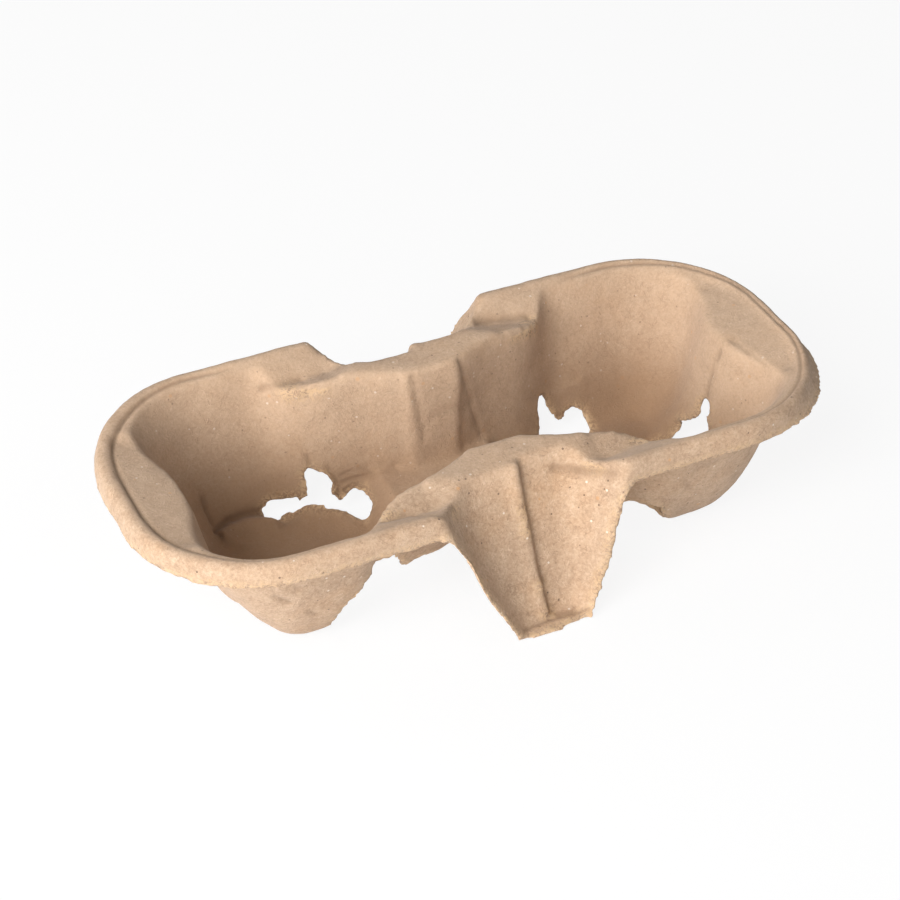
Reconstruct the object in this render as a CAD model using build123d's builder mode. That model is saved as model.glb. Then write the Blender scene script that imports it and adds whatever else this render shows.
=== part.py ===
"""Two-cup carrier moulded in one piece from paper pulp.

The tray is one thin wall that follows a drafted mould: a rolled rim with a short skirt, two
wells whose walls lean in to the feet, two saddles that divide the wells, and a tongue under
each saddle that stands on the ground outside the waist.  The wall is what is left when the
solid under the lower mould face is taken from the solid under the upper mould face, so both
faces are drawn by the same functions, with a depth of 0 for the upper and of one wall for the
lower.

X runs along the tray, Y across it, Z up.  The origin is at the middle of the footprint.
"""

import os
from math import cos, hypot, radians, sin, tan

from build123d import *

# Wall and rim
wall = 2.0
rim_height = 47.0
rim_half_length = 105.8
rim_half_width = 46.6
rim_corner_radius = 38.5
skirt_draft = 8.5
skirt_drop = 8.0
crest_radius = 2.8
flare_start = 3.5
flare_reach = 5.5
groove_inset = 4.2
groove_depth = 1.5

# Cavity of the two wells and the channel between them, at the lip and at the floor
lip_height = rim_height - groove_depth
floor_height = wall
foot_radius = 9.5
foot_turns = (25.0, 48.0, 90.0)
lip_flare = 2.3
well_centre = 60.0
well_half_width = (40.8, 27.5)
well_corner_left = ((91.0, 26.5), (70.2, 15.6))
well_corner_right = ((92.0, 26.5), (78.6, 20.6))
pad_reach = (87.0, 75.5)
nose_half_width = (8.7, 7.0)
nose_reach = (18.6, 12.5)
nose_relief = 1.6
saddle_end = ((31.0, 27.2), (31.0, 19.6))
saddle_turn = ((41.0, 32.4), (41.0, 24.0))

# Bridge between the wells
bridge_height = 13.0
bridge_half_length = 18.5
bridge_slope = 35.0

# Sloping pads at the two ends
pad_fall = 2.8
pad_half_width = 27.0
pad_length = 26.0
pad_end_slope = 62.0

# Waist: the scoops that form the tongues, and the valleys beside the saddles
scoop_half_width = (30.6, 19.0, 9.0)
scoop_levels = (rim_height + 3.0, 20.0, -3.0)
scoop_face = (30.2, 42.0, 52.4)
scoop_face_half_width = (13.0, 9.5, 6.5)
scoop_shift = (0.0, 1.5, 5.0)
step_depth = 2.3
step_top, step_foot = 1.5, 4.0
valley_line = ((12.0, 34.5, 45.7), (26.0, 36.0, 41.0), (48.0, 33.0, 40.8))
valley_outer, valley_inner = 7.5, 12.0
valley_rise = 5.2

# Tongue foot
tongue_lip_thickness = 2.2

# Torn openings at the feet: outline from above, plane of the tear, and outline on that plane
openings = (
    (
        [(-55, -34), (-53, -22), (-43, -11), (-33, -5), (-24, -5), (-16, -11), (-17, -25), (-26, -34)],
        Plane.XZ,
        [(-58, -3), (-55, 6), (-50, 18), (-44, 26), (-36, 24), (-31, 14), (-28, 10.5), (-25, 12.5),
         (-16, 10.5), (-14, -3)],
    ),
    (
        [(-54, 34), (-52.5, 21.5), (-49.5, 22.5), (-46, 24.8), (-29, 15.5), (-26, 11), (-21, 13), (-20, 24),
         (-30, 34)],
        Plane.XZ,
        [(-53.5, -3), (-50.5, 5), (-46, 5.6), (-38.5, 6), (-38, 16.5), (-34, 13), (-31.8, 10.5),
         (-32.2, 6.5), (-29.6, 4.8), (-27.6, 7), (-23.4, 7.6), (-21, 6), (-19.5, -3)],
    ),
    (
        [(57, -34), (56, -19), (51, -10), (40, -6), (29, -9), (27, -18), (33, -26), (42, -34)],
        Plane.XZ,
        [(60, -3), (54, 5), (49, 14), (40, 16), (33, 12), (29, 7), (26, -3)],
    ),
    (
        [(60, 34), (58, 22), (48, 17), (40, 16), (36, 20), (36, 26), (44, 34)],
        Plane.XZ,
        [(58, -3), (57, 4.5), (53, 8.4), (50, 8.2), (47, 6.6), (44.4, 10), (43, 16), (41.5, 15), (40, 7),
         (37, -3)],
    ),
    (
        [(69, 14), (70, -12), (90, -14), (90, 16)],
        Plane.YZ,
        [(7, -3), (9.5, 4), (8.7, 8.8), (3, 11.5), (-1.8, 14.8), (-0.4, 21.4), (-3, 22.4), (-5, 19.5),
         (-4.4, 16.6), (-9.6, 17), (-11, 11), (-7, 4), (-1, -3)],
    ),
)

FAR = 200.0


def taper_shift(drop):
    """Distance that the skirt moves outwards over a drop."""
    return drop * tan(radians(skirt_draft))


def between(pair, share):
    """Value or point a share of the way from the first of a pair to the second."""
    first, second = pair
    if isinstance(first, tuple):
        return tuple(between(both, share) for both in zip(first, second))
    return first + (second - first) * share


def grown(points, amount, first, last):
    """Points moved to the left of their run, with the directions of the two ends given."""
    runs = [(b[0] - a[0], b[1] - a[1]) for a, b in zip(points, points[2:])]
    moved = []
    for (x, y), run in zip(points, [first] + runs + [last]):
        length = hypot(*run)
        moved.append((x - run[1] / length * amount, y + run[0] / length * amount))
    return moved


def quarter_outline(share, growth, well_corner):
    """Quarter of the cavity's outline: the saddle wall's points and the well wall's points."""
    nose = (between(nose_half_width, share), between(nose_reach, share))
    shoulder = (nose[0] + nose_relief, nose[1] + nose_relief)
    end, turn = between(saddle_end, share), between(saddle_turn, share)
    side = (well_centre, between(well_half_width, share))
    corner = between(well_corner, share)
    pad = (between(pad_reach, share), 0.0)
    middle = ((shoulder[0] + end[0]) / 2, (shoulder[1] + end[1]) / 2 + 0.8)
    saddle = [shoulder, middle, end, turn, (between((47.5, 49.0), share), side[1] - 0.7), side]
    hip = (well_centre + (corner[0] - well_centre) * 0.72, side[1] - (side[1] - corner[1]) * 0.28)
    pad_side = (pad[0] + (corner[0] - pad[0]) * 0.45, corner[1] * 0.48)
    well = [side, hip, corner, pad_side, pad]
    saddle = grown(saddle, growth, (1.0, 0.35), (1.0, 0.0))
    well = grown(well, growth, (1.0, 0.0), (0.0, -1.0))
    return [(0.0, nose[1] + growth), (nose[0], nose[1] + growth)], saddle, well


def cavity_outline(height, share, growth):
    """Face of the cavity at one height."""
    with BuildSketch(Plane.XY.offset(height)) as outline:
        with BuildLine():
            for sx, sy in ((1, 1), (1, -1), (-1, -1), (-1, 1)):
                corner = well_corner_right if sx > 0 else well_corner_left
                nose, saddle, well = quarter_outline(share, growth, corner)

                def placed(points):
                    return [(sx * x, sy * y) for x, y in points]

                Line(*placed([nose[0], nose[1]]))
                Line(*placed([nose[1], saddle[0]]))
                Spline(*placed(saddle), tangents=[(sx * 1.0, sy * 0.35), (sx * 1.0, 0.0)])
                Spline(*placed(well), tangents=[(sx * 1.0, 0.0), (0.0, -sy * 1.0)])
        make_face()
    return outline.sketch


def cavity(depth):
    """Solid of the air in the wells and the channel, moved out by a depth."""
    floor = floor_height - depth
    low, high = floor_height, lip_height
    turns = [radians(angle) for angle in foot_turns]
    levels = [floor + foot_radius * (cos(turns[0]) - cos(turn)) for turn in turns]
    insets = [foot_radius * (1 - sin(turn)) for turn in turns]
    levels += [lip_height - 8.0, lip_height - 2.0 - depth * 0.5, rim_height + 1.0]
    insets += [0.0, -0.2, -lip_flare]
    with BuildPart() as air:
        for level, inset in zip(levels, insets):
            share = min(max((high - level) / (high - low), 0.0), 1.0)
            add(cavity_outline(level, share, depth - inset))
        loft()
    return air.part


def end_flare(depth):
    """Solid under the skirt of the right end, which is bent outwards."""
    with BuildPart() as flare:
        for drop, reach in ((flare_start, 0.0), (skirt_drop + 2.0, flare_reach * 1.25)):
            with BuildSketch(Plane.XY.offset(rim_height - drop)):
                with Locations((reach - 0.3, 0)):
                    RectangleRounded(
                        2 * (rim_half_length + taper_shift(drop) - depth),
                        2 * (rim_half_width + taper_shift(drop) - depth - 0.5),
                        rim_corner_radius,
                    )
        loft(ruled=True)
    return flare.part


def rim_block(depth):
    """Drafted block under the rim, with the waist scooped out and the crest rounded."""
    top = rim_height - depth
    with BuildPart() as block:
        with BuildSketch(Plane.XY.offset(top)):
            RectangleRounded(
                2 * (rim_half_length - depth + taper_shift(depth)),
                2 * (rim_half_width - depth + taper_shift(depth)),
                rim_corner_radius - depth,
            )
        extrude(amount=-(top + 1.0 + depth), taper=-skirt_draft)
        add(end_flare(depth))
        for side in (0, 1):
            add(waist_scoop(depth).rotate(Axis.Z, 180 * side), mode=Mode.SUBTRACT)
        crest = block.edges().group_by(Axis.Z)[-1]
        fillet(crest, crest_radius - 0.9 * depth)
    return block.part


def scoop_outline(level, half_width, face, face_half_width, shift, depth):
    """Face of the near scoop at one height, open towards -Y."""
    edge = rim_half_width + taper_shift(rim_height - level) + 1.0
    with BuildSketch(Plane.XY.offset(level)) as outline:
        with BuildLine():
            ends = []
            for sx in (-1, 1):
                rim = (shift + sx * (half_width + depth), -edge)
                flat = (shift + sx * (face_half_width + depth * 0.3), -face + depth)
                Spline(rim, flat, tangents=[(-sx * 0.5, 1.0), (-sx, 0.12)])
                Line(rim, (rim[0], -edge - 20))
                ends.append((rim, flat))
            Line(ends[0][1], ends[1][1])
            Line((ends[0][0][0], -edge - 20), (ends[1][0][0], -edge - 20))
        make_face()
    return outline.sketch


def waist_scoop(depth):
    """Air outside the near tongue, with the deeper half beyond its step."""
    def scoop(extra):
        with BuildPart() as air:
            for place in zip(scoop_levels, scoop_half_width, scoop_face, scoop_face_half_width, scoop_shift):
                level, half_width, face, face_half_width, shift = place
                add(scoop_outline(level, half_width, face - extra, face_half_width, shift, depth))
            loft()
        return air.part

    with BuildPart() as waist:
        add(scoop(0.0))
        with BuildPart(mode=Mode.PRIVATE) as deeper:
            add(scoop(step_depth))
            with BuildSketch(Plane.XZ):
                with BuildLine():
                    lean = (step_foot - step_top) / rim_height
                    Polyline(
                        (step_top - depth - lean * 10, rim_height + 10),
                        (step_foot - depth + lean * 10, -10),
                        (FAR, -10), (FAR, rim_height + 10), close=True,
                    )
                make_face()
            extrude(amount=FAR, mode=Mode.INTERSECT)
        add(deeper.part)
    return waist.part


def valley(start, end, depth):
    """Air of one straight run of the valley between a flange and the saddle."""
    run = end - start
    along = Plane(origin=start, x_dir=(-run.Y, run.X, 0), z_dir=run)
    bottom = -depth * 1.05
    spread = depth * 0.3
    with BuildPart() as air:
        with BuildSketch(along):
            with BuildLine():
                Polyline(
                    (0, bottom), (valley_outer * 2 + spread, valley_rise * 2 + bottom),
                    (-valley_inner * 2 - spread, valley_rise * 2 + bottom), close=True,
                )
            make_face()
        extrude(amount=run.length)
    return air.part


def pad_air(depth):
    """Air over the right end's pad, which slopes down from the groove and fades at both ends."""
    top = lip_height - depth + 0.1
    edge = rim_half_length - groove_inset + depth * 0.6
    with BuildPart() as air:
        with BuildSketch(Plane.XZ.offset(-FAR / 2)):
            with BuildLine():
                Polyline(
                    (edge, top), (edge - pad_length, top), (edge - pad_length, top - pad_fall * 1.8),
                    close=True,
                )
            make_face()
        extrude(amount=FAR)
        with BuildSketch(Plane.XY.offset(top)):
            with Locations((edge, 0)):
                Rectangle(4 * pad_length, 2 * pad_half_width)
        extrude(amount=-pad_fall * 2, taper=pad_end_slope, mode=Mode.INTERSECT)
    return air.part


def upper_form(depth):
    """Solid under the upper mould face, or under the lower one at a depth of one wall."""
    recess_top = lip_height - depth
    with BuildPart() as form:
        add(rim_block(depth))
        with BuildSketch(Plane.XY.offset(recess_top)):
            inset = groove_inset - depth * 0.6
            RectangleRounded(
                2 * (rim_half_length - inset), 2 * (rim_half_width - inset), rim_corner_radius - inset
            )
        extrude(amount=groove_depth + 1, taper=-40, mode=Mode.SUBTRACT)
        for side in (0, 1):
            add(pad_air(depth).rotate(Axis.Z, 180 * side), mode=Mode.SUBTRACT)
        knots = [Vector(*knot) for knot in valley_line]
        for start, end in zip(knots, knots[1:]):
            for sx in (-1, 1):
                for sy in (-1, 1):
                    groove = valley(start, end, depth)
                    groove = groove if sx > 0 else mirror(groove, about=Plane.YZ)
                    groove = groove if sy > 0 else mirror(groove, about=Plane.XZ)
                    add(groove, mode=Mode.SUBTRACT)
        with BuildPart(mode=Mode.PRIVATE) as air:
            add(cavity(depth))
            with BuildSketch(Plane.XZ.offset(-FAR / 2)):
                with BuildLine():
                    spread = tan(radians(bridge_slope))
                    half = bridge_half_length - depth
                    top = bridge_height - depth
                    Polyline(
                        (-half, top), (half, top), (half + (top + 9) * spread, -9),
                        (-half - (top + 9) * spread, -9), close=True,
                    )
                make_face()
            extrude(amount=FAR, mode=Mode.SUBTRACT)
        add(air.part, mode=Mode.SUBTRACT)
    return form.part


def skirt_ring():
    """Layer of the block's side below the skirt, which the finished tray doesn't have."""
    bottom = rim_height - skirt_drop
    with BuildPart() as ring:
        for shift, mode in ((flare_reach + 4.0, Mode.ADD), (-wall - 0.7, Mode.SUBTRACT)):
            with BuildSketch(Plane.XY.offset(bottom)):
                RectangleRounded(
                    2 * (rim_half_length + taper_shift(skirt_drop) + shift),
                    2 * (rim_half_width + taper_shift(skirt_drop) + shift),
                    rim_corner_radius + taper_shift(skirt_drop) + shift,
                )
            extrude(amount=-(bottom + 1), taper=-skirt_draft, mode=mode)
    return ring.part


def opening(plan, plane, tear):
    """Air of a torn opening, drawn by its outlines from above and from the side."""
    with BuildPart() as air:
        with BuildSketch(Plane.XY.offset(-5)):
            with BuildLine():
                Polyline(*plan, close=True)
            make_face()
        extrude(amount=rim_height)
        with BuildSketch(plane.offset(-FAR / 2)):
            with BuildLine():
                Polyline(*tear, close=True)
            make_face()
        extrude(amount=FAR, mode=Mode.INTERSECT)
    return air.part


def tongue_window():
    """Prism over the near tongue's outline, seen from the front."""
    left = [(-31.5, 47.0), (-27.5, 40.0), (-22.5, 31.0), (-17.5, 17.0), (-11.5, 7.0), (-7.2, -2.0)]
    right = [(14.8, -2.0), (17.8, 7.0), (21.8, 17.0), (26.2, 33.0), (29.5, 40.0), (31.5, 47.0)]
    with BuildPart() as window:
        with BuildSketch(Plane.XZ.offset(20)):
            with BuildLine():
                Polyline(*left, *right, close=True)
            make_face()
        extrude(amount=60)
    return window.part


def tongue_lip():
    """Lip that the near tongue stands on, pressed outwards and torn along its edge."""
    with BuildPart() as lip:
        with BuildSketch():
            with BuildLine():
                Polyline(
                    (-7.2, -49.5), (-7.6, -52.2), (-4.5, -54.4), (1.0, -55.0), (6.5, -54.2), (11.0, -53.6),
                    (15.0, -51.8), (14.6, -49.5), close=True,
                )
            make_face()
        extrude(amount=tongue_lip_thickness, taper=12)
    return lip.part


with BuildPart() as tray:
    add(upper_form(0.0))
    with BuildPart(mode=Mode.PRIVATE) as below:
        add(upper_form(wall))
    add(below.part, mode=Mode.SUBTRACT)
    with BuildPart(mode=Mode.PRIVATE) as trim:
        add(skirt_ring())
        for side in (0, 1):
            add(tongue_window().rotate(Axis.Z, 180 * side), mode=Mode.SUBTRACT)
    add(trim.part, mode=Mode.SUBTRACT)
    for plan, plane, tear in openings:
        add(opening(plan, plane, tear), mode=Mode.SUBTRACT)
    with Locations((0, 0, -5)):
        Box(62, 2 * FAR, 10, mode=Mode.SUBTRACT)
    for side in (0, 1):
        add(tongue_lip().rotate(Axis.Z, 180 * side))

# The right end's bent skirt makes the tray longer there, so the footprint's middle is found again
ends = tray.part.bounding_box()
with BuildPart() as carrier:
    add(tray.part.moved(Location((-(ends.min.X + ends.max.X) / 2, 0, 0))))

carrier.part.label = "carrier"
os.makedirs("parts", exist_ok=True)
export_step(carrier.part, "parts/carrier.step")
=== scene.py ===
# %% [markdown]
# This lesson dresses a carrier for two cups that is moulded in one piece from brown paper pulp.
# On the real object a mesh mould sucks wet fibres on to itself, so every edge is rounded, the
# wall is never quite even, and the surface is a felt of fibres with a few coloured specks.
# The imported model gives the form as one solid. Here its skin gets the softness, the bent
# tongues, the torn edges and the finish that a clean solid doesn't have. Nothing is resized, and
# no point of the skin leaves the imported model's box.
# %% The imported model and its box
import math

import bmesh
import bpy
from mathutils import Matrix, Vector, noise
from mathutils.bvhtree import BVHTree
from mathutils.kdtree import KDTree


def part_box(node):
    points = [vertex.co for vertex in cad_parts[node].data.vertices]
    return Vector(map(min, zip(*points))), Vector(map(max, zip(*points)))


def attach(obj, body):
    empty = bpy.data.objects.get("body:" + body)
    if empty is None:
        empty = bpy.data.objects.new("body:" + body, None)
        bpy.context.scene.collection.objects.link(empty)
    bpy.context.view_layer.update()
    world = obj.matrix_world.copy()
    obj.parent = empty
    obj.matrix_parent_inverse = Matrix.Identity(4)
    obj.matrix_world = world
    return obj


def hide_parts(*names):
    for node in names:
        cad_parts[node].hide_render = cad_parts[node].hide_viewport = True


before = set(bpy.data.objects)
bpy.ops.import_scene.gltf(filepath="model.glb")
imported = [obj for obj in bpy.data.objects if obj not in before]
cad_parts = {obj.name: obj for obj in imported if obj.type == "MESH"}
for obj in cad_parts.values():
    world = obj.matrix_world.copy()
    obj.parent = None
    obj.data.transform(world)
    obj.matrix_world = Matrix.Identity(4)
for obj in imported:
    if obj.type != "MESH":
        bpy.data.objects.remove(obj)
bpy.context.view_layer.update()
MM = 0.001
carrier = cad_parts["carrier"]
LOW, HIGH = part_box("carrier")
print("carrier from", [round(v / MM, 1) for v in LOW], "to", [round(v / MM, 1) for v in HIGH], "mm")

# %% [markdown]
# The photograph looks down on the tray from its front left. A long lens keeps the rim's far side
# nearly as wide as its near side. The direction, the distance and the small roll were fitted to
# the rim and the feet, so the camera is built from those angles, with no aiming constraint.
# %% Camera
VIEW_TURN = math.radians(27.18)
VIEW_DROP = math.radians(37.71)
VIEW_ROLL = math.radians(1.21)
VIEW_DISTANCE = 0.73565
VIEW_TARGET = Vector((-0.00009, 0.01113, 0.0196))
LENS_MM = 99.2
SENSOR_MM = 36.0


def photo_camera():
    ahead = Vector((
        math.sin(VIEW_TURN) * math.cos(VIEW_DROP),
        math.cos(VIEW_TURN) * math.cos(VIEW_DROP),
        -math.sin(VIEW_DROP),
    ))
    right = Vector((math.cos(VIEW_TURN), -math.sin(VIEW_TURN), 0.0))
    up = right.cross(ahead)
    across = right * math.cos(VIEW_ROLL) + up * math.sin(VIEW_ROLL)
    upright = up * math.cos(VIEW_ROLL) - right * math.sin(VIEW_ROLL)
    data = bpy.data.cameras.new("photo_camera")
    data.lens = LENS_MM
    data.sensor_width = SENSOR_MM
    data.sensor_fit = "HORIZONTAL"
    data.clip_start = 0.01
    data.clip_end = 50.0
    camera = bpy.data.objects.new("photo_camera", data)
    camera.matrix_world = Matrix.Translation(VIEW_TARGET - ahead * VIEW_DISTANCE) @ Matrix((
        (across.x, upright.x, -ahead.x),
        (across.y, upright.y, -ahead.y),
        (across.z, upright.z, -ahead.z),
    )).to_4x4()
    bpy.context.scene.collection.objects.link(camera)
    bpy.context.scene.camera = camera
    return camera


camera = photo_camera()
print("camera stands", round(camera.matrix_world.translation.length, 3), "m from the middle of the tray")

# %% [markdown]
# A shader is easier to read as arithmetic than as a drawing of nodes. This small class wraps an
# output socket, so that sums and products of sockets add Math nodes by themselves. Every other
# node comes from one method, which sets the node's choices before it fills its sockets.
# %% Shader arithmetic


class Socket:
    """An output socket of a material, which can be used in sums."""

    def __init__(self, tree, out=None):
        self.tree = tree
        self.out = out

    def node(self, kind, settings=None, values=None, output=0):
        made = self.tree.nodes.new(kind)
        for name, value in (settings or {}).items():
            if name == "stops":
                ramp = made.color_ramp.elements
                while len(ramp) < len(value):
                    ramp.new(0.5)
                for stop, (place, colour) in zip(ramp, value):
                    stop.position = place
                    stop.color = (*colour, 1.0)
            else:
                setattr(made, name, value)
        for name, value in (values or {}).items():
            if isinstance(value, Socket):
                self.tree.links.new(value.out, made.inputs[name])
            else:
                made.inputs[name].default_value = value
        return Socket(self.tree, made.outputs[output] if made.outputs else None)

    def maths(self, operation, first, second):
        return self.node("ShaderNodeMath", {"operation": operation}, {0: first, 1: second})

    def __add__(self, other):
        return self.maths("ADD", self, other)

    def __sub__(self, other):
        return self.maths("SUBTRACT", self, other)

    def __mul__(self, other):
        return self.maths("MULTIPLY", self, other)

    def __lt__(self, other):
        return self.maths("LESS_THAN", self, other)

    def __rsub__(self, other):
        return self.maths("SUBTRACT", other, self)

    __radd__ = __add__
    __rmul__ = __mul__

    def between(self, low, high):
        """0 at or before low, 1 at or past high, also where high is the lower of the two."""
        return self.node(
            "ShaderNodeMapRange", {"clamp": True},
            {"Value": self, "From Min": low, "From Max": high, "To Min": 0.0, "To Max": 1.0},
        )

    def mixed(self, first, second):
        """The first colour where this is 0, the second where it is 1."""
        return self.node(
            "ShaderNodeMix", {"data_type": "RGBA", "clamp_factor": True},
            {"Factor": self, 6: first, 7: second}, output=2,
        )


def seen_straight(start):
    """1 on rays from the camera, or ones that it sees by reflection or through glass, else 0."""
    seen = start.node("ShaderNodeLightPath", output="Is Camera Ray")
    glossy = start.node("ShaderNodeLightPath", output="Is Glossy Ray")
    through = start.node("ShaderNodeLightPath", output="Is Transmission Ray")
    return start.maths("MINIMUM", seen + glossy + through, 1.0)


print("sockets can be added, subtracted, multiplied and compared")

# %% [markdown]
# Dry pulp is matt and felted. Its colour drifts slowly from warm brown to greyer brown, and over
# that lie threads of paler and darker fibre, a fine grain, and sparse specks of bark, white
# paper and printed paper. A torn edge is paler, because the tear pulls clean fibres out.
# The patterns read Object coordinates, in metres, so their scales are one over a size. Two
# attributes of the mesh, "inner" and "hollow", paint the upper well walls paler and the floors
# darker, to come nearer to the tones of the photograph. That is shade painted as colour, which
# real pulp doesn't have, so the wells look a little uneven under any other light.
# %% Pulp finish
PULP_WARM = (0.515, 0.343, 0.220, 1.0)
PULP_GREY = (0.455, 0.308, 0.202, 1.0)
PULP_RUST = (0.47, 0.285, 0.158, 1.0)
WELL_PAINTED_LIGHT = (0.62, 0.435, 0.295, 1.0)
WELL_PAINTED_SHADE = (0.25, 0.138, 0.068, 1.0)
FIBRE_PALE = (0.72, 0.54, 0.39, 1.0)
FIBRE_DARK = (0.22, 0.130, 0.075, 1.0)
TORN_PALE = (0.66, 0.45, 0.26, 1.0)
# painted shade: the dark colour laid along creases, cracks, the rim's line and the tongues' pressed lines
CREASE_SHADE_COLOUR = (0.15, 0.085, 0.045, 1.0)
DRIFT_SIZE, STAIN_SIZE, CLOUD_SIZE, FINE_SIZE = 38.0 * MM, 16.0 * MM, 5.0 * MM, 0.9 * MM
PALE_THREAD, DARK_THREAD = (3.4 * MM, 0.022), (4.2 * MM, 0.016)
STRAND_SIZE = 1.6 * MM
STAIN_SHARE, CLOUD_SHARE, FINE_PALE_SHARE, FINE_DARK_SHARE = 0.40, 0.22, 0.40, 0.38
THREAD_SHARE, SPECK_SHARE = 0.45, 0.7
WELL_PAINTED_LIGHT_SHARE, WELL_PAINTED_SHADE_SHARE = 0.38, 0.68
TORN_PALE_SHARE, TORN_DARK_SHARE = 0.8, 0.6
BUMP_STRENGTH, BUMP_DEPTH = 0.60, 0.35 * MM
SPECK_RADIUS = 0.33
SPECK_COLOURS = {
    # colour, size of a cell, share of the cells that hold a speck, and shift of the pattern
    "dark": ((0.09, 0.05, 0.03, 1.0), 0.0010, 0.012, 0.0),
    "white": ((0.80, 0.72, 0.62, 1.0), 0.0011, 0.010, 7.0),
    "orange": ((0.55, 0.30, 0.14, 1.0), 0.0018, 0.008, 13.0),
}


def pulp_finish():
    material = bpy.data.materials.new("moulded_pulp")
    material.use_nodes = True
    tree = material.node_tree
    tree.nodes.clear()
    start = Socket(tree)
    place = start.node("ShaderNodeTexCoord", output="Object")

    def grain(size, detail=2.0, roughness=0.5, distortion=0.0, shift=0.0):
        moved = place.node(
            "ShaderNodeVectorMath", {"operation": "ADD"}, {0: place, 1: (shift, shift * 0.7, -shift)}
        )
        return place.node(
            "ShaderNodeTexNoise", {"noise_dimensions": "3D"},
            {"Vector": moved, "Scale": 1.0 / size, "Detail": detail, "Roughness": roughness,
             "Distortion": distortion},
        )

    def threads(size, width, shift):
        """Thin winding lines, where a warped noise crosses its middle value."""
        field = grain(size, detail=3.0, distortion=1.2, shift=shift)
        away = field.node("ShaderNodeMath", {"operation": "ABSOLUTE"}, {0: field - 0.5})
        return 1.0 - away.between(0.0, width)

    def specks(size, share, shift):
        """Sparse round dots: the cells of a pattern whose random number is low."""
        moved = place.node(
            "ShaderNodeVectorMath", {"operation": "ADD"}, {0: place, 1: (shift, -shift, shift)}
        )
        cells = place.node(
            "ShaderNodeTexVoronoi", {"feature": "F1"}, {"Vector": moved, "Scale": 1.0 / size}
        )
        owner = cells.out.node.outputs["Color"]
        number = place.node("ShaderNodeSeparateColor", values={"Color": Socket(tree, owner)})
        return (cells < SPECK_RADIUS) * (number < share)

    drift = grain(DRIFT_SIZE, detail=3.0, shift=3.0)
    cloud = grain(CLOUD_SIZE, detail=4.0, roughness=0.6, shift=5.0)
    fine = grain(FINE_SIZE, detail=4.0, roughness=0.7, shift=9.0)
    stain = grain(STAIN_SIZE, detail=2.0, shift=17.0)
    colour = drift.between(0.38, 0.62).mixed(PULP_WARM, PULP_GREY)
    colour = (stain.between(0.56, 0.72) * STAIN_SHARE).mixed(colour, PULP_RUST)
    colour = (cloud.between(0.42, 0.75) * CLOUD_SHARE).mixed(colour, FIBRE_PALE)
    colour = (fine.between(0.49, 0.70) * FINE_PALE_SHARE).mixed(colour, FIBRE_PALE)
    colour = (fine.between(0.49, 0.28) * FINE_DARK_SHARE).mixed(colour, FIBRE_DARK)
    pale_threads = threads(*PALE_THREAD, 21.0)
    dark_threads = threads(*DARK_THREAD, 31.0)
    colour = (pale_threads * cloud.between(0.40, 0.55) * THREAD_SHARE).mixed(colour, FIBRE_PALE)
    colour = (dark_threads * cloud.between(0.56, 0.46) * THREAD_SHARE).mixed(colour, FIBRE_DARK)
    for speck, size, share, shift in SPECK_COLOURS.values():
        colour = (specks(size, share, shift) * SPECK_SHARE).mixed(colour, speck)
    # painted light: the walls that face into a well are made paler
    inner = start.node("ShaderNodeAttribute", {"attribute_name": "inner"}, output="Fac")
    colour = (inner * WELL_PAINTED_LIGHT_SHARE).mixed(colour, WELL_PAINTED_LIGHT)
    # painted shade: the wells are darker towards the bottom
    hollow = start.node("ShaderNodeAttribute", {"attribute_name": "hollow"}, output="Fac")
    colour = (hollow * WELL_PAINTED_SHADE_SHARE).mixed(colour, WELL_PAINTED_SHADE)
    torn = start.node("ShaderNodeAttribute", {"attribute_name": "torn"}, output="Fac")
    strand = grain(STRAND_SIZE, detail=3.0, roughness=0.7, distortion=1.5, shift=41.0)
    colour = (torn * strand.between(0.44, 0.56) * TORN_PALE_SHARE).mixed(colour, TORN_PALE)
    frayed = torn.between(0.35, 0.9) * strand.between(0.46, 0.36)
    colour = (frayed * TORN_DARK_SHARE).mixed(colour, FIBRE_DARK)
    # painted shade: creases, cracks, the rim's line and the tongues' pressed lines are darkened in the
    # colour
    crevice = start.node("ShaderNodeAttribute", {"attribute_name": "crevice"}, output="Fac")
    colour = (crevice * (0.35 + fine * 0.5)).mixed(colour, CREASE_SHADE_COLOUR)
    height = fine * 0.6 + cloud * 0.5 + pale_threads * 0.3 - dark_threads * 0.2 + torn * strand * 1.6
    bump = place.node(
        "ShaderNodeBump", values={"Strength": BUMP_STRENGTH, "Distance": BUMP_DEPTH, "Height": height}
    )
    shader = place.node(
        "ShaderNodeBsdfPrincipled", values={
            "Base Color": colour, "Roughness": 0.82 + fine * 0.15, "Specular IOR Level": 0.18,
            "Sheen Weight": 0.12, "Sheen Roughness": 0.6, "Normal": bump,
        },
    )
    place.node("ShaderNodeOutputMaterial", values={"Surface": shader})
    print("pulp finish:", len(tree.nodes), "nodes")
    return material


pulp = pulp_finish()

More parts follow.
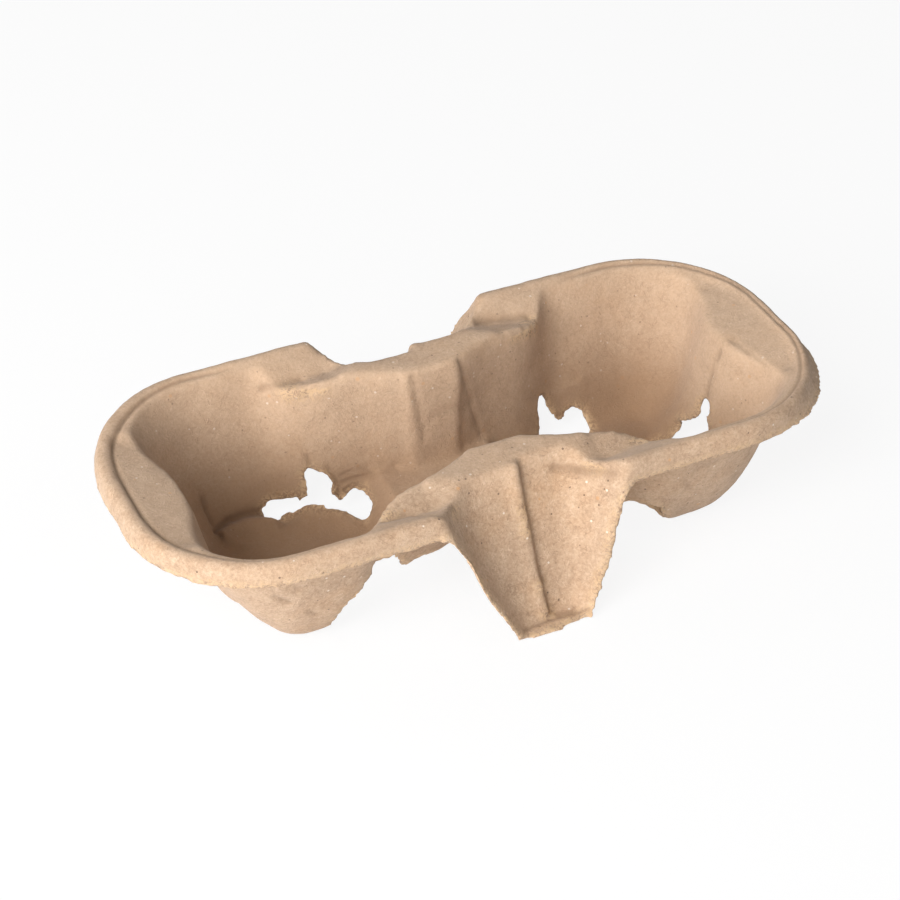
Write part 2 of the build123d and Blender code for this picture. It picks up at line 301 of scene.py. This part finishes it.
# %% [markdown]
# The skin starts as a copy of the solid's mesh. Its facets are long and uneven, which would
# show in a raking light, so a voxel remesh gives it even faces a little over a millimetre wide. The
# real tears at the foot of the right well are narrower than the solid's, because scraps of wall
# still hang in them. Each scrap is a short chain of points along the wall's curve, drawn out
# sideways and then outwards, and the remesh melts it into the wall. The curve at the well's side
# came from rays through the photograph's pixels on to the model. The slit at the foot of
# the left well is so thin that the remesh would close it, so a small block cuts it wider first.
# %% Even skin
VOXEL = 1.18 * MM
END_CURVE = ((70.5, 2.2), (73.2, 3.3), (75.8, 5.6), (77.3, 9.0), (78.2, 13.0), (79.1, 17.0))
SIDE_CURVE = ((26.5, 5.1), (28.0, 7.1), (30.1, 11.3), (30.7, 14.5))
SCRAPS = (
    ([(x, 12.5, z) for x, z in END_CURVE[:4]], (0.0, -7.0, 0.0), (1.5, 0.0, -0.9)),
    ([(x, -13.0, z) for x, z in END_CURVE], (0.0, 6.5, 0.0), (1.5, 0.0, -0.9)),
    ([(44.8, y, z) for y, z in SIDE_CURVE], (3.6, 0.0, 0.0), (0.0, 1.3, -0.9)),
    ([(47.6, y, z) for y, z in SIDE_CURVE[1:]], (9.5, 0.0, 0.0), (0.0, 1.3, -0.9)),
)
SCRAP_RAGS = (0.92, 1.13)
SLIT_SIZE, SLIT_TURN, SLIT_PLACE = (9.5, 5.0, 2.3), -0.15, (-49.0, 24.3, 5.0)


def hang_scrap(form, curve, width, backwards):
    """Sheet drawn from a curve of points by its width, and then thickened backwards."""
    chain = [form.verts.new(Vector(place) * MM) for place in curve]
    runs = [form.edges.new(pair) for pair in zip(chain, chain[1:])]
    side = bmesh.ops.extrude_edge_only(form, edges=runs)["geom"]
    across = [item for item in side if isinstance(item, bmesh.types.BMVert)]
    for number, point in enumerate(across):
        point.co += Vector(width) * MM * SCRAP_RAGS[number % 2]
    sheet = [item for item in side if isinstance(item, bmesh.types.BMFace)]
    back = bmesh.ops.extrude_face_region(form, geom=sheet)["geom"]
    points = [item for item in back if isinstance(item, bmesh.types.BMVert)]
    bmesh.ops.translate(form, verts=points, vec=Vector(backwards) * MM)


def slit_cutter():
    form = bmesh.new()
    bmesh.ops.create_cube(form, size=1.0)
    bmesh.ops.scale(form, verts=form.verts, vec=Vector(SLIT_SIZE) * MM)
    bmesh.ops.rotate(form, verts=form.verts, matrix=Matrix.Rotation(SLIT_TURN, 3, "Z"))
    bmesh.ops.translate(form, verts=form.verts, vec=Vector(SLIT_PLACE) * MM)
    mesh = bpy.data.meshes.new("slit_cutter")
    form.to_mesh(mesh)
    form.free()
    cutter = bpy.data.objects.new("slit_cutter", mesh)
    bpy.context.scene.collection.objects.link(cutter)
    return cutter


def applied(piece):
    """The piece's mesh with its modifiers worked into it."""
    graph = bpy.context.evaluated_depsgraph_get()
    shaped = bpy.data.meshes.new_from_object(piece.evaluated_get(graph))
    piece.modifiers.clear()
    return shaped


def remeshed(source, name):
    form = bmesh.new()
    form.from_mesh(source.data)
    bmesh.ops.remove_doubles(form, verts=form.verts, dist=0.002 * MM)
    mesh = bpy.data.meshes.new(name)
    form.to_mesh(mesh)
    piece = bpy.data.objects.new(name, mesh)
    bpy.context.scene.collection.objects.link(piece)
    cutter = slit_cutter()
    slit = piece.modifiers.new("slit", "BOOLEAN")
    slit.operation = "DIFFERENCE"
    slit.object = cutter
    slit.solver = "EXACT"
    form.clear()
    form.from_mesh(applied(piece))
    bpy.data.objects.remove(cutter)
    for curve, width, backwards in SCRAPS:
        hang_scrap(form, curve, width, backwards)
    form.to_mesh(mesh)
    form.free()
    even = piece.modifiers.new("even_faces", "REMESH")
    even.mode = "VOXEL"
    even.voxel_size = VOXEL
    even.adaptivity = 0.0
    piece.data = applied(piece)
    piece.data.name = name
    return piece


skin = remeshed(carrier, "pulp_carrier")
print("skin:", len(skin.data.vertices), "points and", len(skin.data.polygons), "faces")

# %% [markdown]
# Two rounds of smoothing melt the creases, as wet pulp does when it settles into the mould.
# The solid has clean cut edges where the real tray is torn or trimmed. They are found by
# looking inwards from each point: on the sheet the far side is one wall away, on an edge it is
# much further. The rim's crest is left out, because it is rolled, not torn.
# %% Melted creases and edges of the sheet
MELT_ROUNDS = 2
WALL = 2.0 * MM
EDGE_DEPTH = 1.7 * WALL
TEAR_BAND = 3.4 * MM
CREST_LEVEL = HIGH.z - 5.0 * MM
RAY_START, RAY_REACH = 0.05 * MM, 20.0 * MM
NEIGHBOURS = 24
CLEAR_WAY = 0.2


def sheet_edges(form):
    """Distance of each point to the nearest edge of the sheet, and the way out over it."""
    form.normal_update()
    tree = BVHTree.FromBMesh(form)
    edge_points = []
    for point in form.verts:
        if point.co.z > CREST_LEVEL:
            continue
        hit = tree.ray_cast(point.co - point.normal * RAY_START, -point.normal, RAY_REACH)
        if hit[3] is None or hit[3] > EDGE_DEPTH:
            edge_points.append(point)
    finder = KDTree(len(edge_points))
    for number, point in enumerate(edge_points):
        finder.insert(point.co, number)
    finder.balance()
    found = {}
    for point in form.verts:
        near = finder.find_range(point.co, TEAR_BAND) if point.co.z < CREST_LEVEL else []
        if near:
            way = Vector()
            for _, number, _ in near[:NEIGHBOURS]:
                way += edge_points[number].normal
            gap = min(item[2] for item in near)
            found[point.index] = (gap, way.normalized() if way.length > CLEAR_WAY else Vector())
    return found


shell = bmesh.new()
shell.from_mesh(skin.data)
for _ in range(MELT_ROUNDS):
    bmesh.ops.smooth_vert(
        shell, verts=shell.verts, factor=0.5, use_axis_x=True, use_axis_y=True, use_axis_z=True
    )
print("points near an edge of the sheet:", len(sheet_edges(shell)))

# %% [markdown]
# A sharp line runs round the rim inside its roll. It is a rounded rectangle seen from above, so
# its distance is worked out as for any such outline: the distance to a smaller rectangle, less
# the corner's radius. The line sits a little to the right, so it lies nearer to the crest at the
# right end.
# %% Line inside the rim
LINE_CENTRE_X = -0.98 * MM
LINE_HALF = (102.05 * MM, 42.85 * MM)
LINE_CORNER = 34.75 * MM
LINE_WIDTH, LINE_DEPTH = 0.62 * MM, 0.70 * MM
LINE_START, LINE_FULL = 48.0 * MM, 66.0 * MM
LINE_LOWEST, LINE_FACING = CREST_LEVEL + 1.5 * MM, 0.25
LINE_WANDER_SIZE, LINE_WANDER = 14.0 * MM, 0.35


def ramp(value, low, high):
    """0 at low, 1 at high, and a smooth climb between them, also where high is below low."""
    share = min(max((value - low) / (high - low), 0.0), 1.0)
    return share * share * (3.0 - 2.0 * share)


def hump(distance, width):
    return math.exp(-(distance / width) ** 2)


def rim_line_gap(place):
    across = abs(place.x - LINE_CENTRE_X) - (LINE_HALF[0] - LINE_CORNER)
    deep = abs(place.y) - (LINE_HALF[1] - LINE_CORNER)
    return math.hypot(max(across, 0.0), max(deep, 0.0)) + min(max(across, deep), 0.0) - LINE_CORNER


def rim_line(place, normal):
    """How far a point sinks for the rim's line, and how dark its painted shade is there."""
    if place.z < LINE_LOWEST or normal.z < LINE_FACING:
        return 0.0, 0.0
    wander = noise.noise(place / LINE_WANDER_SIZE) * LINE_WANDER * MM
    near = hump(rim_line_gap(place) + wander, LINE_WIDTH)
    near *= ramp(abs(place.x - LINE_CENTRE_X), LINE_START, LINE_FULL)
    return near * LINE_DEPTH, near ** 2


end_gap = rim_line_gap(Vector((HIGH.x, 0.0, HIGH.z)))
print("the line passes", round(end_gap / MM, 1), "mm inside the right end")

# %% [markdown]
# Creases and cracks are short lines across the surface: each is a few points on the wall with a
# width and a depth. Their pixels were picked in the photograph, and rays through the pixels gave
# most of the places on the model. A point of the skin sinks by how near it is to a crease. A fold
# moves its points straight up instead, or down where its height is negative, such as the pillow
# of the left well's floor.
# %% Creases, cracks and folds
CREASES = (
    # a line of points, its width, its depth and how dark its painted shade is
    (((11.0, -32.0, 40.0), (15.0, -34.2, 39.4), (19.0, -36.9, 39.3), (24.0, -43.3, 41.8)), 1.2, 0.9, 0.8),
    (((-43.5, -35.2, 41.7), (-35.5, -34.4, 41.2), (-30.7, -43.3, 46.2)), 1.3, 0.7, 0.45),
    (((-48.8, 37.8, 39.6), (-44.2, 34.9, 41.6), (-37.6, 35.4, 41.4)), 1.2, 0.6, 0.6),
    (((21.8, 37.0, 42.5), (27.6, 36.9, 42.0), (37.8, 35.4, 41.8)), 1.2, 0.7, 0.6),
    (((-70.7, 20.8, 5.2), (-65.9, 24.8, 4.0), (-60.5, 25.8, 4.4), (-55.0, 25.2, 4.2)), 1.8, 1.6, 1.0),
    (((-72.2, 29.0, 12.7), (-71.8, 26.3, 10.0), (-70.7, 23.0, 6.4), (-70.7, 18.0, 4.2)), 1.1, 0.8, 0.7),
    (((83.4, -2.8, 39.6), (82.1, -2.0, 32.8), (81.0, -1.8, 27.3), (80.2, -2.4, 23.5)), 0.7, 0.5, 0.6),
    (((86.5, -3.5, 43.1), (87.2, -10.3, 43.2), (88.8, -18.4, 43.3)), 0.8, 0.4, 0.35),
    (((-9.1, 18.9, 44.1), (-8.4, 17.6, 38.6), (-7.2, 17.1, 31.2), (-5.9, 16.2, 22.1)), 1.0, 0.5, 0.25),
    (((6.9, 19.5, 44.7), (8.7, 19.5, 37.5), (10.8, 20.0, 29.1), (15.0, 19.5, 14.9)), 1.2, 0.5, 0.25),
    (((-5.7, 16.7, 27.3), (-0.7, 16.9, 29.0), (4.3, 17.0, 29.1), (10.8, 19.7, 25.6)), 1.0, 0.3, 0.2),
    (((-78.6, -46.6, 39.9), (-70.3, -37.5, 28.9)), 0.9, 0.3, 0.3),
    (((-76.1, -35.0, 26.5), (-72.0, -35.2, 23.3)), 0.8, 0.45, 0.6),
    (((-66.1, -34.5, 17.5), (-64.3, -33.8, 14.9)), 0.8, 0.45, 0.6),
    (((-74.6, -25.0, 8.7), (-73.1, -25.5, 7.0)), 0.8, 0.45, 0.5),
    (((51.2, -37.1, 26.6), (54.9, -35.7, 21.0)), 0.8, 0.45, 0.5),
    (((55.9, -38.5, 28.9), (62.6, -38.5, 29.6)), 0.8, 0.3, 0.3),
    (((-34.4, 23.6, 14.7), (-33.2, 21.9, 12.1), (-32.2, 20.5, 9.7), (-33.0, 19.5, 7.2)), 0.9, 0.9, 0.85),
    (((-39.9, 26.2, 19.2), (-39.5, 25.7, 16.4)), 0.8, 0.6, 0.7),
    (((-33.6, 20.9, 9.9), (-28.6, 20.5, 11.1), (-23.7, 19.7, 11.6), (-15.1, 17.6, 13.6)), 1.2, 0.7, 0.45),
    (((-31.3, 21.7, 12.4), (-27.6, 21.2, 13.3), (-22.8, 20.2, 13.6)), 1.0, 0.5, 0.3),
    (((-30.7, 19.6, 8.3), (-28.3, 19.8, 9.6), (-25.2, 19.3, 9.7)), 0.9, 0.6, 0.4),
    (((-8.0, -52.0, 3.0), (-5.6, -51.5, 2.2), (0.5, -51.0, 2.2), (7.6, -51.1, 2.2), (12.8, -52.1, 3.0)),
     0.7, 0.6, 0.6),
    (((-9.7, -53.4, 1.6), (-2.1, -54.1, 2.2), (6.3, -53.5, 2.0), (12.5, -52.8, 2.1)), 0.6, 0.4, 0.5),
)
FOLDS = (
    # a line of points, its width and its height
    (((-69.0, 19.5, 4.0), (-65.5, 21.8, 3.4), (-60.0, 22.0, 2.8), (-54.0, 20.5, 2.2)), 3.0, 3.2),
    (((-42.0, 19.5, 3.2), (-39.3, 18.8, 3.2), (-34.5, 15.5, 2.6), (-31.5, 12.0, 2.0)), 4.0, 2.6),
    (((-69.8, 17.4, 3.6), (-67.6, 16.8, 2.6), (-65.6, 15.2, 2.0)), 1.5, 1.5),
    (((-50.0, 22.0, 3.2), (-45.6, 22.2, 3.6)), 2.6, -1.2),
)


def line_gap(place, line):
    """Distance from a place to a chain of points given in millimetres."""
    nearest = 1.0
    for start, end in zip(line, line[1:]):
        first = Vector(start) * MM
        run = Vector(end) * MM - first
        along = min(max((place - first).dot(run) / run.length_squared, 0.0), 1.0)
        nearest = min(nearest, (place - first - run * along).length)
    return nearest


def around(line, margin):
    """Box round a chain of points, so that most points of the skin are passed over quickly."""
    low = [min(point[axis] for point in line) * MM - margin for axis in range(3)]
    high = [max(point[axis] for point in line) * MM + margin for axis in range(3)]
    return low, high


def within(place, box):
    return all(low <= value <= high for value, low, high in zip(place, *box))


CREASE_WANDER_SIZE, CREASE_WANDER = 3.0 * MM, 0.35
CREASE_BOXES = [around(line, 3.0 * width * MM) for line, width, _, _ in CREASES]
FOLD_BOXES = [around(line, 3.0 * width * MM) for line, width, _ in FOLDS]


def creases_at(place):
    sunk, dark = 0.0, 0.0
    for (line, width, depth, shade), box in zip(CREASES, CREASE_BOXES):
        if within(place, box):
            wander = noise.noise(place / CREASE_WANDER_SIZE) * CREASE_WANDER * MM
            near = hump(line_gap(place, line) + wander, width * MM)
            sunk = max(sunk, near * depth * MM)
            dark = max(dark, near * shade)
    return sunk, dark


def folds_at(place):
    return sum(
        hump(line_gap(place, line), width * MM) * height * MM
        for (line, width, height), box in zip(FOLDS, FOLD_BOXES) if within(place, box)
    )


print(len(CREASES), "creases and", len(FOLDS), "folds")

# %% [markdown]
# Each tongue is not two flat panels but two shallow dishes, with a ridge and a pressed line
# between them. The sheet is bent outwards near each side edge, on both faces alike. The far
# tongue doesn't show, and is taken to be the near one turned half round, so one function serves
# both.
# %% Dished tongues
RIM_CENTRE_X = -2.23
TONGUE_LEVELS = (47.0, 31.0, 17.0, 7.0, 0.0)
TONGUE_LEFT = (-31.5, -22.5, -17.5, -11.5, -8.2)
TONGUE_RIGHT = (31.5, 25.5, 21.8, 17.8, 15.2)
TONGUE_STEP = (1.5, 2.4, 3.1, 3.6, 4.0)
DISH_DEPTH = (3.0, 1.2)
DISH_WIDTH = (0.65, 0.5)
DISH_LIMIT = 3.2
TONGUE_NEAREST, TONGUE_HALF_WIDTH = 28.5, 30.0
RIDGE_SHIFT, RIDGE_WIDTH, RIDGE_HEIGHT = 1.9, 1.9, 0.85
PRESS_SHIFT, PRESS_WIDTH, PRESS_DEPTH = 0.7, 0.85, 0.65
TONGUE_WANDER_SIZE, TONGUE_WANDER = 9.0 * MM, 0.12


def at_level(values, height):
    """Value between those of the tongue's levels, for a height in millimetres."""
    for top, low, first, second in zip(TONGUE_LEVELS, TONGUE_LEVELS[1:], values, values[1:]):
        if height >= low:
            return second + (first - second) * min((height - low) / (top - low), 1.0)
    return values[-1]


def tongue_shape(place, normal):
    """How far out a tongue's sheet bends, how far its ridge or line moves, and its line's painted shade.
    """
    side = -1.0 if place.y > 0.0 else 1.0
    across = (place.x / MM - RIM_CENTRE_X) * side
    deep, height = -place.y / MM * side, place.z / MM
    if deep < TONGUE_NEAREST or abs(across) > TONGUE_HALF_WIDTH:
        return side, 0.0, 0.0, 0.0
    left, right = at_level(TONGUE_LEFT, height), at_level(TONGUE_RIGHT, height)
    step = at_level(TONGUE_STEP, height)
    fade = ramp(height, 44.0, 34.0) * ramp(height, -1.0, 3.0)
    if across < step:
        share = (across - left) / (step - left)
        bend = DISH_DEPTH[0] * max(1.0 - share / DISH_WIDTH[0], 0.0) ** 2
    else:
        share = (right - across) / (right - step)
        bend = DISH_DEPTH[1] * max(1.0 - share / DISH_WIDTH[1], 0.0) ** 2
    out = normal.y * -side
    front = ramp(out, 0.05, 0.4) * ramp(height, 46.5, 44.0) * ramp(height, 1.5, 4.0)
    wander = noise.noise(place / TONGUE_WANDER_SIZE) * TONGUE_WANDER
    ridge = hump(across - step + RIDGE_SHIFT + wander, RIDGE_WIDTH) * RIDGE_HEIGHT * front
    line = hump(across - step - PRESS_SHIFT + wander, PRESS_WIDTH) * front
    return side, min(bend, DISH_LIMIT) * fade * MM, (ridge - line * PRESS_DEPTH) * MM, line


print("two tongues, dished by", DISH_DEPTH[0], "and", DISH_DEPTH[1], "mm")

# %% [markdown]
# Fine lines and torn edges need smaller faces than the rest of the skin. Halving the edges only
# there keeps the whole piece light.
# %% Finer faces where they are needed
LINE_BAND = 1.9 * MM
TEAR_FINE = 1.6 * MM
LINE_FINE_LOWEST = CREST_LEVEL + 1.0 * MM
DARK_CREASE = 0.12


def needs_fine(point, edges):
    place = point.co
    if point.index in edges and edges[point.index][0] < TEAR_FINE:
        return True
    if place.z > LINE_FINE_LOWEST and abs(rim_line_gap(place)) < LINE_BAND:
        return abs(place.x - LINE_CENTRE_X) > LINE_START
    return creases_at(place)[1] > DARK_CREASE


near_edges = sheet_edges(shell)
chosen = {point.index for point in shell.verts if needs_fine(point, near_edges)}
halved = [edge for edge in shell.edges if all(point.index in chosen for point in edge.verts)]
bmesh.ops.subdivide_edges(shell, edges=halved, cuts=1, use_grid_fill=True, smooth=0.0)
bmesh.ops.triangulate(shell, faces=[face for face in shell.faces if len(face.verts) > 4])
shell.verts.index_update()
edges = sheet_edges(shell)
print("after halving:", len(shell.verts), "points and", len(shell.faces), "faces")

# %% [markdown]
# Noise of several sizes makes the wall uneven, as on pulp: slow waves of a few centimetres move
# both sides of the wall together, and small lumps and grit stand on each side. At a torn edge
# the sheet gets thinner, and frays in and out. A few tags of fibre stand out further on the
# skirt, round the right end and beside the near tongue.
# %% Uneven wall and frayed edges
WAVE_SIZE, WAVE_DEPTH = 42.0 * MM, 0.45 * MM
LUMP_SIZE, LUMP_DEPTH = 7.5 * MM, 0.15 * MM
GRIT_SIZE, GRIT_DEPTH = 2.6 * MM, 0.07 * MM
RAG_SIZE, RAG_DEPTH = 4.2 * MM, 0.75 * MM
SHRED_SIZE, SHRED_DEPTH = 1.7 * MM, 0.50 * MM
THINNING = 0.55 * MM
CALM_LEVEL, CALM_SKIRT = HIGH.z - 12.0 * MM, 0.55
WAIST_DEPTH, WAIST_HALF_LENGTH, CALM_WAIST = 29.0 * MM, 34.0 * MM, 0.45
TAGS = (
    # the tag's place, how far it reaches, and which way its edge moves
    ((108.6, -12.0, 38.5), 2.2, (0.0, -0.6, -1.6)),
    ((109.2, -20.0, 38.5), 1.8, (0.0, -1.0, -1.8)),
    ((100.0, -38.0, 38.0), 2.0, (0.6, -1.2, -1.8)),
    ((97.0, -41.0, 38.0), 1.6, (0.4, -1.4, -1.6)),
    ((21.0, -47.0, 38.0), 2.4, (1.0, -0.4, -1.6)),
    ((-24.0, -47.0, 38.0), 2.4, (-0.8, -0.5, -1.5)),
)


def wave_at(place):
    return Vector((
        noise.noise(place / WAVE_SIZE),
        noise.noise(place / WAVE_SIZE + Vector((17.0, 3.0, 5.0))),
        noise.noise(place / WAVE_SIZE + Vector((5.0, 29.0, 11.0))),
    )) * WAVE_DEPTH


def fray_at(place, normal, gap, way):
    """Move of a point near an edge: the sheet gets thinner, and its edge goes in and out."""
    pull = 1.0 - gap / TEAR_BAND
    thin = -normal * THINNING * pull ** 2 * (1.0 - abs(normal.dot(way)))
    rag = noise.noise(place / RAG_SIZE + Vector((3.0, 41.0, 7.0))) * RAG_DEPTH
    shred = noise.noise(place / SHRED_SIZE + Vector((31.0, 1.0, 9.0))) * SHRED_DEPTH
    calm = CALM_SKIRT if place.z > CALM_LEVEL else 1.0
    if abs(place.y) > WAIST_DEPTH and abs(place.x) < WAIST_HALF_LENGTH:
        calm = CALM_WAIST
    return thin + way * (rag + shred) * pull * calm, pull


WELL_AXIS, AXIS_LIFT, FACING_WELL = 60.0 * MM, 12.0 * MM, 0.35
HOLLOW_START, HOLLOW_FULL = 30.0 * MM, 3.0 * MM


def hollow_at(place, normal):
    """Whether a point faces into a well, and how deep it is there, 1 on the floor."""
    side = 1.0 if place.x > RIM_CENTRE_X * MM else -1.0
    to_axis = Vector((RIM_CENTRE_X * MM + side * WELL_AXIS - place.x, -place.y, AXIS_LIFT))
    inside = ramp(normal.dot(to_axis.normalized()), 0.0, FACING_WELL)
    deep = ramp(place.z, HOLLOW_START, HOLLOW_FULL)
    return inside, inside * deep


RIM_LINE_SHADE, TONGUE_LINE_SHADE = 0.75, 0.6
torn_share = []
crease_shade_share = []
inner_share = []
hollow_share = []
moves = []
for point in shell.verts:
    place, normal = point.co, point.normal
    move = wave_at(place)
    lumps = noise.fractal(place / LUMP_SIZE, 0.8, 2.0, 2) * LUMP_DEPTH
    grit = noise.noise(place / GRIT_SIZE) * GRIT_DEPTH
    sunk, dark = creases_at(place)
    rim_sunk, rim_dark = rim_line(place, normal)
    side, bend, ridge, line = tongue_shape(place, normal)
    move += normal * (lumps + grit - sunk - rim_sunk + ridge)
    move.y -= bend * side
    move.z += folds_at(place)
    pull = 0.0
    if point.index in edges:
        frayed, pull = fray_at(place, normal, *edges[point.index])
        move += frayed
    for spot, reach, way in TAGS:
        move += Vector(way) * MM * hump((place / MM - Vector(spot)).length, reach) * pull
    moves.append(move)
    torn_share.append(pull)
    inside, hollow = hollow_at(place, normal)
    inner_share.append(inside)
    hollow_share.append(hollow)
    # painted shade of the creases, cracks and pressed lines, kept as a mesh attribute
    crease_shade_share.append(min(max(dark, rim_dark * RIM_LINE_SHADE, line * TONGUE_LINE_SHADE), 1.0))
for point, move in zip(shell.verts, moves):
    point.co += move
    for axis in range(3):
        point.co[axis] = min(max(point.co[axis], LOW[axis]), HIGH[axis])
shell.normal_update()
shell.to_mesh(skin.data)
shell.free()
skin.data.shade_smooth()
shares = {
    "torn": torn_share, "crevice": crease_shade_share, "inner": inner_share, "hollow": hollow_share,
}
for name, values in shares.items():
    share = skin.data.attributes.new(name, "FLOAT", "POINT")
    share.data.foreach_set("value", values)
skin.data.materials.clear()
skin.data.materials.append(pulp)
print("triangles:", sum(len(face.vertices) - 2 for face in skin.data.polygons))

# %% [markdown]
# The tray stands alone on white. Renders with one lamp at a time were fitted to the brightness
# of the tray in the photograph, to find where its light comes from: mostly from low on the left
# and from the front, a little from the right, and a dim world that fills the shadows. The powers
# were then changed. Each lamp is a soft square placed by two angles: how far it stands
# round from the camera, with the left negative, and how high. The floor keeps the soft shadow.
# %% Stage and light
FLOOR_COLOUR = (0.93, 0.93, 0.93, 1.0)
FLOOR_SIZE = 6.0
FLOOR_WHITENESS = 0.88
LAMP_REACH = 1.2
LAMP_SIZE = 0.5
WORLD_STRENGTH = 0.21
LAMPS = {
    # degrees round from the camera, degrees above the floor, and power in watts
    "left_lamp": (-44.0, 24.0, 9.0),
    "front_lamp": (-8.0, 14.0, 5.2),
    "high_lamp": (-28.0, 44.0, 7.5),
    "side_lamp": (-110.0, 40.0, 1.4),
    "right_lamp": (80.0, 40.0, 0.8),
}


def soft_lamp(name, round_from_camera, height, power):
    turn = VIEW_TURN + math.pi - math.radians(round_from_camera)
    lift = math.radians(height)
    way = Vector((math.sin(turn) * math.cos(lift), math.cos(turn) * math.cos(lift), math.sin(lift)))
    data = bpy.data.lights.new(name, "AREA")
    data.shape = "SQUARE"
    data.size = LAMP_SIZE
    data.energy = power
    lamp = bpy.data.objects.new(name, data)
    lamp.location = way * LAMP_REACH
    lamp.rotation_euler = (-way).to_track_quat("-Z", "Y").to_euler()
    bpy.context.scene.collection.objects.link(lamp)
    return lamp


def plain_floor():
    form = bmesh.new()
    bmesh.ops.create_grid(form, x_segments=1, y_segments=1, size=FLOOR_SIZE / 2)
    mesh = bpy.data.meshes.new("plain_floor")
    form.to_mesh(mesh)
    form.free()
    floor = bpy.data.objects.new("plain_floor", mesh)
    bpy.context.scene.collection.objects.link(floor)
    material = bpy.data.materials.new("floor_paint")
    material.use_nodes = True
    tree = material.node_tree
    tree.nodes.clear()
    start = Socket(tree)
    paint = start.node("ShaderNodeBsdfDiffuse", values={"Color": FLOOR_COLOUR})
    white = start.node("ShaderNodeEmission", values={"Color": (1.0, 1.0, 1.0, 1.0), "Strength": 1.0})
    share = seen_straight(start)
    shader = share.node("ShaderNodeMixShader", values={0: share * FLOOR_WHITENESS, 1: paint, 2: white})
    start.node("ShaderNodeOutputMaterial", values={"Surface": shader})
    mesh.materials.append(material)
    return floor


def pale_world(strength):
    world = bpy.data.worlds.new("pale_world")
    world.use_nodes = True
    tree = world.node_tree
    tree.nodes.clear()
    start = Socket(tree)
    share = seen_straight(start)
    light = share * (1.0 - strength) + strength
    glow = start.node("ShaderNodeBackground", values={"Color": (1.0, 1.0, 1.0, 1.0), "Strength": light})
    start.node("ShaderNodeOutputWorld", values={"Surface": glow})
    bpy.context.scene.world = world


plain_floor()
pale_world(WORLD_STRENGTH)
for name, (round_from_camera, height, power) in LAMPS.items():
    soft_lamp(name, round_from_camera, height, power)
bpy.context.scene.view_settings.view_transform = "Standard"
print("floor, world and", len(LAMPS), "lamps")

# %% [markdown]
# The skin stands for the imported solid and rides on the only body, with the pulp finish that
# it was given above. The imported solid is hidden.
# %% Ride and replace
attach(skin, "root")
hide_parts("carrier")
bpy.context.view_layer.update()
